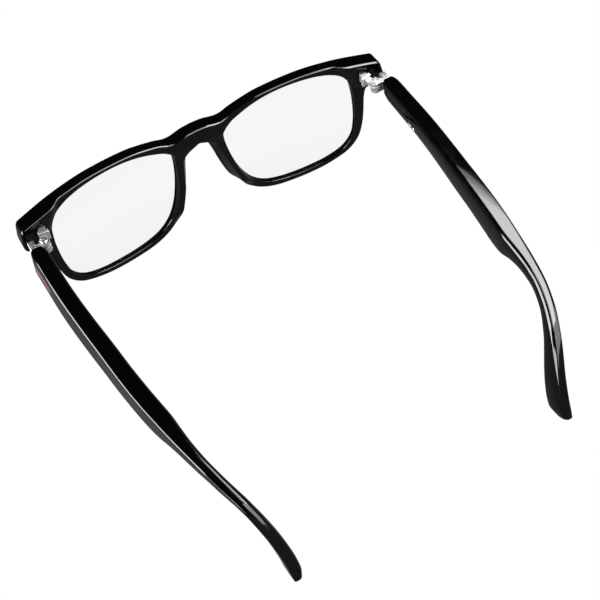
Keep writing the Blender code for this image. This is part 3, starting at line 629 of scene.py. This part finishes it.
def build_temple(side, tag):
    """The shell and the cover of one temple."""
    def sided(bm):
        return mirror(bm) if side < 0 else bm

    shell = to_object("temple_skin_" + tag, sided(temple_body()))
    radius, bottom, top = HINGE_POCKET
    cut(shell, sided(cavity()))
    cut(shell, sided(chamber()))
    if side > 0:
        cut(shell, window(POCKET_GAP, *WINDOW_POCKET))
    else:
        cut(shell, mirror(inlay(POCKET_GAP, *INLAY_POCKET)))
    cut(shell, sided(outlet()))
    cut(shell, sided(cylinder(HINGE[0], HINGE[1], bottom, top, radius)))
    cover = along_temple(np.linspace(BAY_FROM - CLEAR, BAY_TO + CLEAR, 60),
                         lambda t: (-0.5 * t, -0.5 * t + COVER_THICK),
                         lambda h: (-0.5 * h + BAY_EDGE + CLEAR, 0.5 * h - BAY_EDGE - CLEAR),
                         (0.0, 0.0, COVER_EDGE, COVER_EDGE), steps=3, divide=6)
    cover = to_object("cover_skin_" + tag, sided(cover))
    return smooth(shell), cover


# ---- finishes -------------------------------------------------------------------------
BLACK_GLOSS = 0.14           # specular level of the black plastic seen square on
PAINT_GLOSS = 0.06
GRAZING_POWER = 2.3          # how fast that gloss falls away toward edge-on
NOISE_ROUGHNESS = 0.55
COLOUR_STOPS = (0.35, 0.65)  # where a noise turns from the dark colour to the light one
SPAN_STOPS = (0.3, 0.7)      # the same for a roughness
LENS_ALPHA = (0.012, 0.5)    # seen square on, and edge-on


class Finish:
    """A Principled material built from small procedural layers."""

    def __init__(self, name, rough, metal=0.0, specular=0.5):
        self.mat = bpy.data.materials.new(name)
        self.mat.use_nodes = True
        self.tree = self.mat.node_tree
        self.shader = self.tree.nodes["Principled BSDF"]
        self.shader.inputs["Metallic"].default_value = metal
        self.shader.inputs["Roughness"].default_value = rough
        self.shader.inputs["Specular IOR Level"].default_value = specular
        coords = self.tree.nodes.new("ShaderNodeTexCoord")
        self.place = coords.outputs["Object"]

    def node(self, kind, **inputs):
        made = self.tree.nodes.new(kind)
        for key, value in inputs.items():
            made.inputs[key.replace("_", " ")].default_value = value
        return made

    def link(self, out, into):
        self.tree.links.new(out, into)

    def noise(self, scale, detail=3.0, stretch=None):
        """Noise with that many cells in a metre."""
        made = self.node("ShaderNodeTexNoise", Scale=scale, Detail=detail,
                         Roughness=NOISE_ROUGHNESS)
        source = self.place
        if stretch:
            mapping = self.tree.nodes.new("ShaderNodeMapping")
            mapping.inputs["Scale"].default_value = stretch
            self.link(source, mapping.inputs["Vector"])
            source = mapping.outputs["Vector"]
        self.link(source, made.inputs["Vector"])
        return made.outputs["Fac"]

    def ramp(self, fac, stops):
        """Colour ramp through (position, colour) stops."""
        made = self.tree.nodes.new("ShaderNodeValToRGB")
        while len(made.color_ramp.elements) < len(stops):
            made.color_ramp.elements.new(0.5)
        for element, (at, colour) in zip(made.color_ramp.elements, stops):
            element.position = at
            element.color = (*colour, 1.0)
        self.link(fac, made.inputs["Fac"])
        return made.outputs["Color"]

    def colour(self, fac, dark, light):
        stops = zip(COLOUR_STOPS, (dark, light))
        self.link(self.ramp(fac, list(stops)), self.shader.inputs["Base Color"])

    def roughness(self, fac, low, high):
        made = self.node("ShaderNodeMapRange", From_Min=SPAN_STOPS[0], From_Max=SPAN_STOPS[1],
                         To_Min=low, To_Max=high)
        self.link(fac, made.inputs["Value"])
        self.link(made.outputs["Result"], self.shader.inputs["Roughness"])

    def calc(self, operation, first, second):
        """Math node; each input is a socket or a number."""
        made = self.tree.nodes.new("ShaderNodeMath")
        made.operation = operation
        for value, into in zip((first, second), made.inputs):
            if isinstance(value, float):
                into.default_value = value
            else:
                self.link(value, into)
        return made.outputs["Value"]

    def soft_grazing(self, level):
        """Gloss that falls away where the surface is seen edge-on."""
        weight = self.node("ShaderNodeLayerWeight", Blend=0.5)
        facing = self.calc("SUBTRACT", 1.0, weight.outputs["Facing"])
        gloss = self.calc("MULTIPLY", self.calc("POWER", facing, GRAZING_POWER), level)
        self.link(gloss, self.shader.inputs["Specular IOR Level"])

    def bump(self, fac, strength, depth):
        """Bump with its depth in millimetres."""
        made = self.node("ShaderNodeBump", Strength=strength, Distance=depth * MM)
        self.link(fac, made.inputs["Height"])
        self.link(made.outputs["Normal"], self.shader.inputs["Normal"])


def gloss_black(name):
    """Polished acetate: deep black, faint orange peel, a little handling haze."""
    made = Finish(name, 0.08, 0.0, BLACK_GLOSS)
    made.colour(made.noise(900.0), (0.00004, 0.00004, 0.00004), (0.00007, 0.00007, 0.00008))
    made.soft_grazing(BLACK_GLOSS)
    made.roughness(made.noise(160.0, 4.0), 0.05, 0.11)
    made.bump(made.noise(420.0, 2.0), 0.05, 0.05)
    return made.mat


def clear_lens(name):
    """Clear plano lens: hardly there seen square on, firmer toward its edges."""
    made = Finish(name, 0.02, 0.0, 0.5)
    made.colour(made.noise(60.0), (0.0040, 0.0042, 0.0045), (0.0060, 0.0062, 0.0066))
    made.roughness(made.noise(120.0, 4.0), 0.01, 0.05)
    made.bump(made.noise(90.0, 2.0), 0.01, 0.02)
    facing = made.node("ShaderNodeLayerWeight", Blend=0.12)
    alpha = made.node("ShaderNodeMapRange", To_Min=LENS_ALPHA[0], To_Max=LENS_ALPHA[1])
    made.link(facing.outputs["Facing"], alpha.inputs["Value"])
    made.link(alpha.outputs["Result"], made.shader.inputs["Alpha"])
    return made.mat


def steel(name, base, rough):
    """Cast and tumbled steel: fine grain with soft brushing."""
    made = Finish(name, rough, 1.0)
    light = (1.06 * base, 1.06 * base, 1.07 * base)
    made.colour(made.noise(1500.0, 4.0), (0.93 * base,) * 3, light)
    made.roughness(made.noise(2500.0, 3.0, stretch=(0.2, 1.0, 1.0)), rough - 0.04, rough + 0.06)
    made.bump(made.noise(2400.0, 2.0, stretch=(0.15, 1.0, 1.0)), 0.01, 0.01)
    return made.mat


def plated(name, base):
    """Bright plating over a pressed part."""
    made = Finish(name, 0.16, 1.0)
    made.colour(made.noise(2500.0), tuple(c * 0.86 for c in base), base)
    made.roughness(made.noise(3000.0), 0.10, 0.24)
    made.bump(made.noise(3000.0, 2.0), 0.08, 0.02)
    return made.mat


def moulded(name, dark, light, rough):
    """Matt moulded plastic or rubber with a spark-eroded grain."""
    made = Finish(name, rough, 0.0, 0.35)
    made.colour(made.noise(700.0), dark, light)
    made.roughness(made.noise(900.0), rough - 0.08, rough + 0.08)
    made.bump(made.noise(2600.0, 3.0), 0.25, 0.03)
    return made.mat


def smoked(name):
    """Smoked window: slightly translucent-looking glossy dark plastic."""
    made = Finish(name, 0.12, 0.0, BLACK_GLOSS)
    made.colour(made.noise(300.0), (0.0002, 0.0002, 0.0002), (0.0004, 0.0004, 0.0005))
    made.soft_grazing(BLACK_GLOSS)
    made.roughness(made.noise(500.0), 0.10, 0.20)
    made.bump(made.noise(800.0, 2.0), 0.05, 0.03)
    return made.mat


def board(name):
    """Solder mask with copper pads."""
    copper, mask_dark, mask_light = (0.55, 0.40, 0.16), (0.010, 0.075, 0.035), (0.016, 0.105, 0.050)
    made = Finish(name, 0.42)
    cells = made.node("ShaderNodeTexVoronoi", Scale=900.0)
    cells.distance = "CHEBYCHEV"
    made.link(made.place, cells.inputs["Vector"])
    stops = [(0.12, copper), (0.16, mask_dark), (0.75, mask_light)]
    made.link(made.ramp(cells.outputs["Distance"], stops), made.shader.inputs["Base Color"])
    made.roughness(made.noise(1200.0), 0.34, 0.52)
    made.bump(cells.outputs["Distance"], 0.3, 0.05)
    return made.mat


def foil(name):
    """Crimped laminate of a pouch cell."""
    made = Finish(name, 0.34, 0.75)
    made.colour(made.noise(300.0), (0.42, 0.44, 0.47), (0.58, 0.60, 0.63))
    made.roughness(made.noise(400.0), 0.26, 0.46)
    made.bump(made.noise(260.0, 4.0), 0.4, 0.12)
    return made.mat


def painted(name, dark, light):
    """Matt print or coated film."""
    made = Finish(name, 0.45, 0.0, PAINT_GLOSS)
    made.colour(made.noise(900.0), dark, light)
    made.soft_grazing(PAINT_GLOSS)
    made.roughness(made.noise(1400.0), 0.38, 0.55)
    made.bump(made.noise(2200.0, 2.0), 0.1, 0.02)
    return made.mat


# Finish of each carried-over piece, by the start of its name.
LOOKS = {
    "hinge_leaf": lambda n: steel(n, 0.18, 0.42),
    "hinge_block": lambda n: steel(n, 0.15, 0.42),
    "hinge_screw": lambda n: steel(n, 0.24, 0.30),
    "charge_contact": lambda n: plated(n, (0.86, 0.86, 0.87)),
    "speaker_grille": lambda n: steel(n, 0.16, 0.4),
    "speaker": lambda n: steel(n, 0.34, 0.35),
    "battery": foil,
    "main_board": board,
    "sub_board": board,
    "processor": lambda n: moulded(n, (0.014,) * 3, (0.024,) * 3, 0.55),
    "microphone": lambda n: plated(n, (0.62, 0.60, 0.55)),
    "touch_flex": lambda n: painted(n, (0.34, 0.15, 0.05), (0.48, 0.22, 0.08)),
    "sensor_window": smoked,
    "inlay": lambda n: painted(n, (0.023, 0.0092, 0.0100), (0.029, 0.0118, 0.0128)),
}


def dress(obj, mat):
    obj.data.materials.clear()
    obj.data.materials.append(mat)


HINGE_EASE = 0.10            # eased edges of the carried-over pieces
SMALL_EASE = 0.05
WELD = 0.000002              # metres


def soften(obj, width):
    """Welds a carried-over node's split corners and eases its edges, shape unchanged."""
    weld = obj.modifiers.new("weld", "WELD")
    weld.merge_threshold = WELD
    edge = obj.modifiers.new("ease", "BEVEL")
    edge.width = width * MM
    edge.segments = 3
    edge.limit_method = "ANGLE"
    edge.angle_limit = math.radians(32)
    edge.use_clamp_overlap = True
    normals = obj.modifiers.new("normals", "WEIGHTED_NORMAL")
    normals.keep_sharp = False
    for poly in obj.data.polygons:
        poly.use_smooth = True


def keep_nodes():
    """Dresses every node that keeps its CAD shape; the longest matching name wins."""
    for name, obj in frame["nodes"].items():
        for start in sorted(LOOKS, key=len, reverse=True):
            if name.startswith(start):
                obj.material_slots[0].link = "OBJECT"
                obj.material_slots[0].material = LOOKS[start](name + "_look")
                soften(obj, HINGE_EASE if start.startswith("hinge") else SMALL_EASE)
                break


# ---- studio (metres) ------------------------------------------------------------------
FLOOR_HALF = 3.0
FLOOR_Z = -0.0002            # just under the tips and rims that stand on it
CEILING = 0.25               # height of the level panels

# Level panels over the glasses: name, x from and to, y from and to, radiance.
PANELS = [
    ("stripe", 0.112, 0.262, -0.30, 0.105, 75.0),
    ("stripe_fade", 0.112, 0.262, 0.105, 0.115, 42.0),
    ("stripe_edge", 0.125, 0.262, 0.115, 0.127, 20.0),
    ("panel_middle", 0.00, 0.112, -0.30, 0.04, 26.0),
]

# Boxes round the glasses: name, azimuth and elevation (degrees), width, height, radiance,
# distance, and the point they are placed round.
CENTRE = (0.0, 0.0, 0.03)
LEFT_SIDE = (-0.067, 0.0, 0.03)
BOXES = [
    ("box_back", 150.0, 22.0, 1.00, 0.60, 22.0, 1.0, CENTRE),
    ("box_left", -74.0, 22.0, 0.42, 0.30, 80.0, 0.42, LEFT_SIDE),
    ("box_rear_left", -126.0, 7.0, 0.45, 0.24, 55.0, 1.0, CENTRE),
    ("box_low_left", -98.0, 4.5, 0.50, 0.14, 70.0, 1.0, CENTRE),
]

# World brightness by height of the direction: white horizon, dim ceiling.
HORIZON = (0.10, (1.0, 1.0, 1.0, 1.0))
OVERHEAD = (0.42, (0.10, 0.10, 0.11, 1.0))

# The photo's angle.
CAMERA_AT = (-0.09016426, -0.2310706, 0.30946284)
CAMERA_TURN = (40.15355949, 7.58839584, -29.80144587)
FOCAL_LENGTH = 67.4958
SENSOR = 36.0


def floor():
    """A plain white floor that hardly answers to the lights, so it stays even."""
    bm = bmesh.new()
    bmesh.ops.create_grid(bm, x_segments=4, y_segments=4, size=FLOOR_HALF)
    mesh = bpy.data.meshes.new("floor")
    bm.to_mesh(mesh)
    bm.free()
    obj = bpy.data.objects.new("floor", mesh)
    bpy.context.scene.collection.objects.link(obj)
    obj.location.z = FLOOR_Z
    made = Finish("floor_look", 0.9, 0.0, 0.0)
    made.colour(made.noise(4.0), (0.0003, 0.0003, 0.0003), (0.0004, 0.0004, 0.0004))
    made.shader.inputs["Emission Color"].default_value = (1.0, 1.0, 1.0, 1.0)
    made.shader.inputs["Emission Strength"].default_value = 1.0
    dress(obj, made.mat)


def area(name, wide, tall, radiance):
    """A rectangular light of even radiance that the camera doesn't see."""
    data = bpy.data.lights.new(name, "AREA")
    data.shape = "RECTANGLE"
    data.size = wide
    data.size_y = tall
    data.energy = radiance * math.pi * wide * tall
    obj = bpy.data.objects.new(name, data)
    obj.visible_camera = False
    bpy.context.scene.collection.objects.link(obj)
    return obj


def panel(name, x0, x1, y0, y1, radiance):
    """A level panel over the glasses, facing down."""
    obj = area(name, x1 - x0, y1 - y0, radiance)
    obj.location = (0.5 * (x0 + x1), 0.5 * (y0 + y1), CEILING)


def softbox(name, azimuth, elevation, wide, tall, radiance, distance, at):
    """A rectangular light seen from a point at that azimuth (0 is +Y, 90 is +X)."""
    obj = area(name, wide, tall, radiance)
    az, el = math.radians(azimuth), math.radians(elevation)
    away = Vector((math.sin(az) * math.cos(el), math.cos(az) * math.cos(el), math.sin(el)))
    obj.location = Vector(at) + away * distance
    obj.rotation_mode = "QUATERNION"
    obj.rotation_quaternion = away.to_track_quat("Z", "Y")


def sky():
    """A white horizon that falls off to a dim ceiling."""
    world = bpy.data.worlds.new("studio")
    bpy.context.scene.world = world
    world.use_nodes = True
    tree = world.node_tree
    coords = tree.nodes.new("ShaderNodeTexCoord")
    split = tree.nodes.new("ShaderNodeSeparateXYZ")
    ramp = tree.nodes.new("ShaderNodeValToRGB")
    for element, (height, colour) in zip(ramp.color_ramp.elements, (HORIZON, OVERHEAD)):
        element.position = height
        element.color = colour
    tree.links.new(coords.outputs["Generated"], split.inputs["Vector"])
    tree.links.new(split.outputs["Z"], ramp.inputs["Fac"])
    tree.links.new(ramp.outputs["Color"], tree.nodes["Background"].inputs["Color"])
    tree.nodes["Background"].inputs["Strength"].default_value = 1.0


def studio():
    """World, lights and floor."""
    sky()
    bpy.context.scene.view_settings.view_transform = "Standard"
    for row in PANELS:
        panel(*row)
    for row in BOXES:
        softbox(*row)
    floor()


def camera():
    data = bpy.data.cameras.new("camera")
    data.lens = FOCAL_LENGTH
    data.sensor_width = SENSOR
    data.clip_start = 0.01
    data.clip_end = 50.0
    obj = bpy.data.objects.new("camera", data)
    bpy.context.scene.collection.objects.link(obj)
    obj.location = CAMERA_AT
    obj.rotation_euler = [math.radians(a) for a in CAMERA_TURN]
    bpy.context.scene.camera = obj


# ---- everything -----------------------------------------------------------------------
def build():
    """Replaces the front, the lenses, the shells and the covers; the rest keeps its shape."""
    front = build_front()
    dress(front, gloss_black("front_gloss"))
    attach(front, "front")
    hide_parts("front_frame")
    for side, tag in ((1, "right"), (-1, "left")):
        lens = build_lens(side, tag)
        dress(lens, clear_lens("lens_look_" + tag))
        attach(lens, "front")
        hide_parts("lens_" + tag)
        shell, cover = build_temple(side, tag)
        for obj, node in ((shell, "temple_shell_" + tag), (cover, "temple_cover_" + tag)):
            dress(obj, gloss_black(obj.name + "_gloss"))
            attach(obj, "temple_" + tag)
            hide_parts(node)
        smooth(cover)
    keep_nodes()


studio()
camera()
build()
